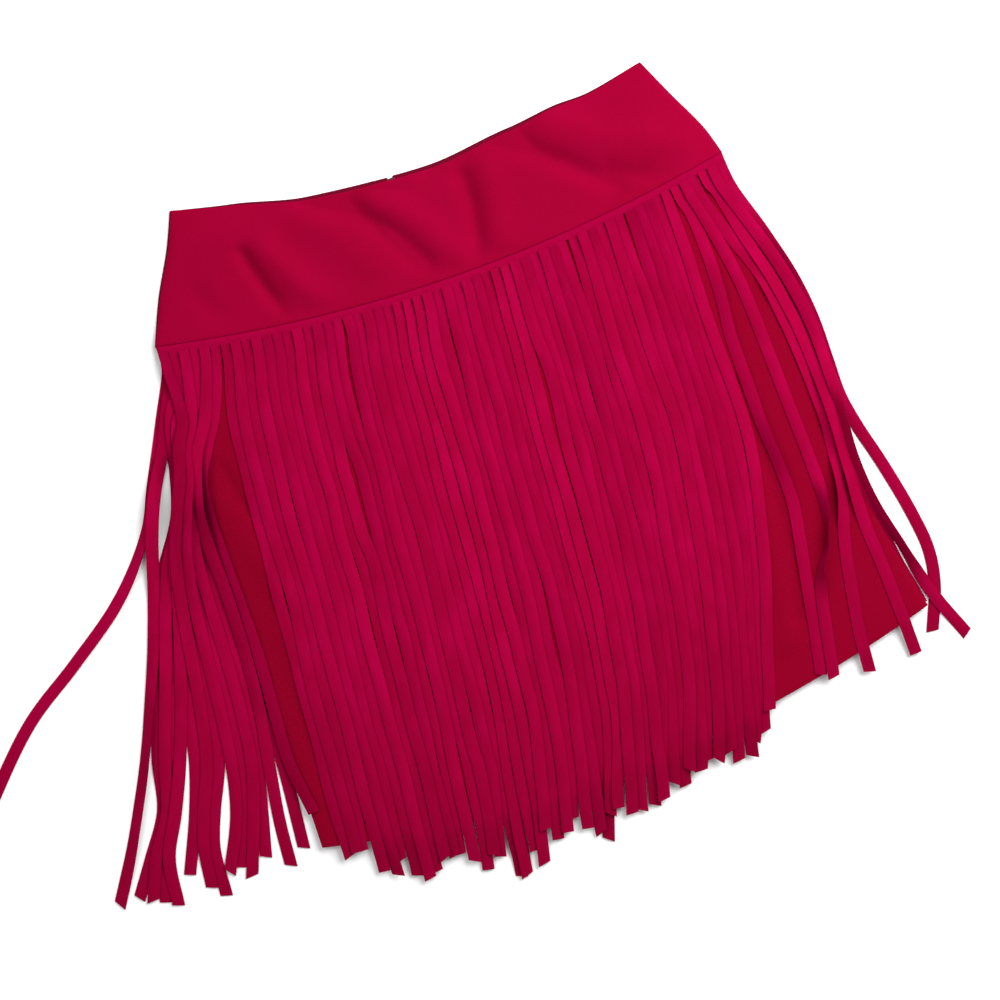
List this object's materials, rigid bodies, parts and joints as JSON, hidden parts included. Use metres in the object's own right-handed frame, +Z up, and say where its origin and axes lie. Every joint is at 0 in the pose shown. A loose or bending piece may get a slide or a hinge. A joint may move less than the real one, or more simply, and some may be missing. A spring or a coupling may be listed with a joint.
{
  "type": "fringe skirt",
  "caption": "Short skirt laid flat, with a fitted hip yoke, a plain lower skirt and a long cut fringe hanging from the yoke seam.",
  "frame": {"origin": "on the surface the skirt lies on, under the middle of all that is laid out", "axes": "+X across the skirt to the side without the free strand, +Y towards the waist, +Z up from the surface"},
  "size_m": [0.738, 0.5336, 0.0121],
  "materials": {
    "skirt_cloth": "matt crepe with a faint nap",
    "fringe_cloth": "matt cut strips with a soft nap",
    "zip_tape": "fine woven tape",
    "zip_metal": "dark coated zip slider"
  },
  "bodies": {
    "root": {"back_yoke_left": "skirt_cloth", "back_yoke_right": "skirt_cloth", "back_fringe_left": "fringe_cloth", "back_fringe_right": "fringe_cloth", "back_skirt_left": "skirt_cloth", "back_skirt_right": "skirt_cloth", "zip_tape": "zip_tape", "zip_slider": "zip_metal", "front_skirt": "skirt_cloth", "front_yoke": "skirt_cloth", "front_fringe": "fringe_cloth"}
  },
  "joints": []
}
